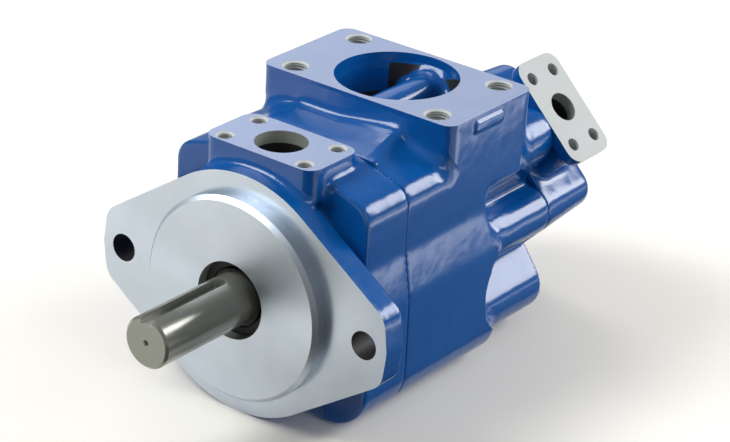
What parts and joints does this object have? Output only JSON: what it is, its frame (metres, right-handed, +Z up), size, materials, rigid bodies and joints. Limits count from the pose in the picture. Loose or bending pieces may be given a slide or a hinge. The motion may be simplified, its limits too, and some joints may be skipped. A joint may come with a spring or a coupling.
{
  "type": "double hydraulic vane pump",
  "caption": "Double hydraulic vane pump in a painted cast casing, with a keyed drive shaft, an eared mounting flange, a large flanged inlet on top and an outlet at each end.",
  "frame": {"origin": "on the shaft axis, in the face that the mounting flange seats on", "axes": "+X across the two mounting holes, +Y along the shaft towards the rear cover, +Z up through the inlet"},
  "size_m": [0.213, 0.347, 0.1715],
  "materials": {
    "blue_enamel": "glossy blue enamel over cast iron, with machined faces left bare",
    "shaft_steel": "ground steel",
    "bearing_steel": "polished bearing steel",
    "cage_steel": "pressed sheet steel",
    "spring_steel": "phosphated spring steel",
    "seal_rubber": "matte black rubber",
    "ring_plastic": "off-white plastic",
    "bronze": "sintered bronze",
    "plate_iron": "machined cast iron",
    "hard_steel": "hardened ground steel",
    "screw_steel": "black oxide steel"
  },
  "bodies": {
    "pump_body": {"front_body": "blue_enamel", "middle_housing": "blue_enamel", "rear_cover": "blue_enamel", "bearing_outer_ring": "bearing_steel", "bearing_retaining_ring": "spring_steel", "shaft_seal_case": "seal_rubber", "shaft_seal_lip": "seal_rubber", "shaft_seal_spring": "spring_steel", "body_joint_ring": "seal_rubber", "cover_joint_ring": "seal_rubber", "rear_bush": "bronze", "body_screws": "screw_steel", "cover_screws": "screw_steel", "front_outlet_plate": "plate_iron", "front_inlet_plate": "plate_iron", "front_plate_bush": "bronze", "front_plate_seals": "seal_rubber", "front_backup_rings": "ring_plastic", "front_side_plates": "bronze", "front_cam_ring": "hard_steel", "front_dowel_pins": "hard_steel", "front_kit_screws": "screw_steel", "rear_outlet_plate": "plate_iron", "rear_inlet_plate": "plate_iron", "rear_plate_bush": "bronze", "rear_plate_seals": "seal_rubber", "rear_backup_rings": "ring_plastic", "rear_side_plates": "bronze", "rear_cam_ring": "hard_steel", "rear_dowel_pins": "hard_steel", "rear_kit_screws": "screw_steel"},
    "rotating_group": {"shaft": "shaft_steel", "bearing_inner_ring": "bearing_steel", "shaft_retaining_ring": "spring_steel", "front_rotor": "hard_steel", "front_vanes": "hard_steel", "front_vane_inserts": "hard_steel", "rear_rotor": "hard_steel", "rear_vanes": "hard_steel", "rear_vane_inserts": "hard_steel"},
    "ball_train": {"bearing_balls": "bearing_steel", "bearing_cage": "cage_steel"}
  },
  "joints": [
    {"name": "shaft_spin", "type": "hinge", "parent": "pump_body", "child": "rotating_group", "pos_m": [0, 0, 0], "axis": [0, 1, 0], "continuous": true},
    {"name": "ball_train_spin", "type": "hinge", "parent": "pump_body", "child": "ball_train", "pos_m": [0, 0.0205, 0], "axis": [0, 1, 0], "continuous": true}
  ],
  "couplings": [
    {"joint": "ball_train_spin", "follows": "shaft_spin", "ratio": 0.3972}
  ]
}
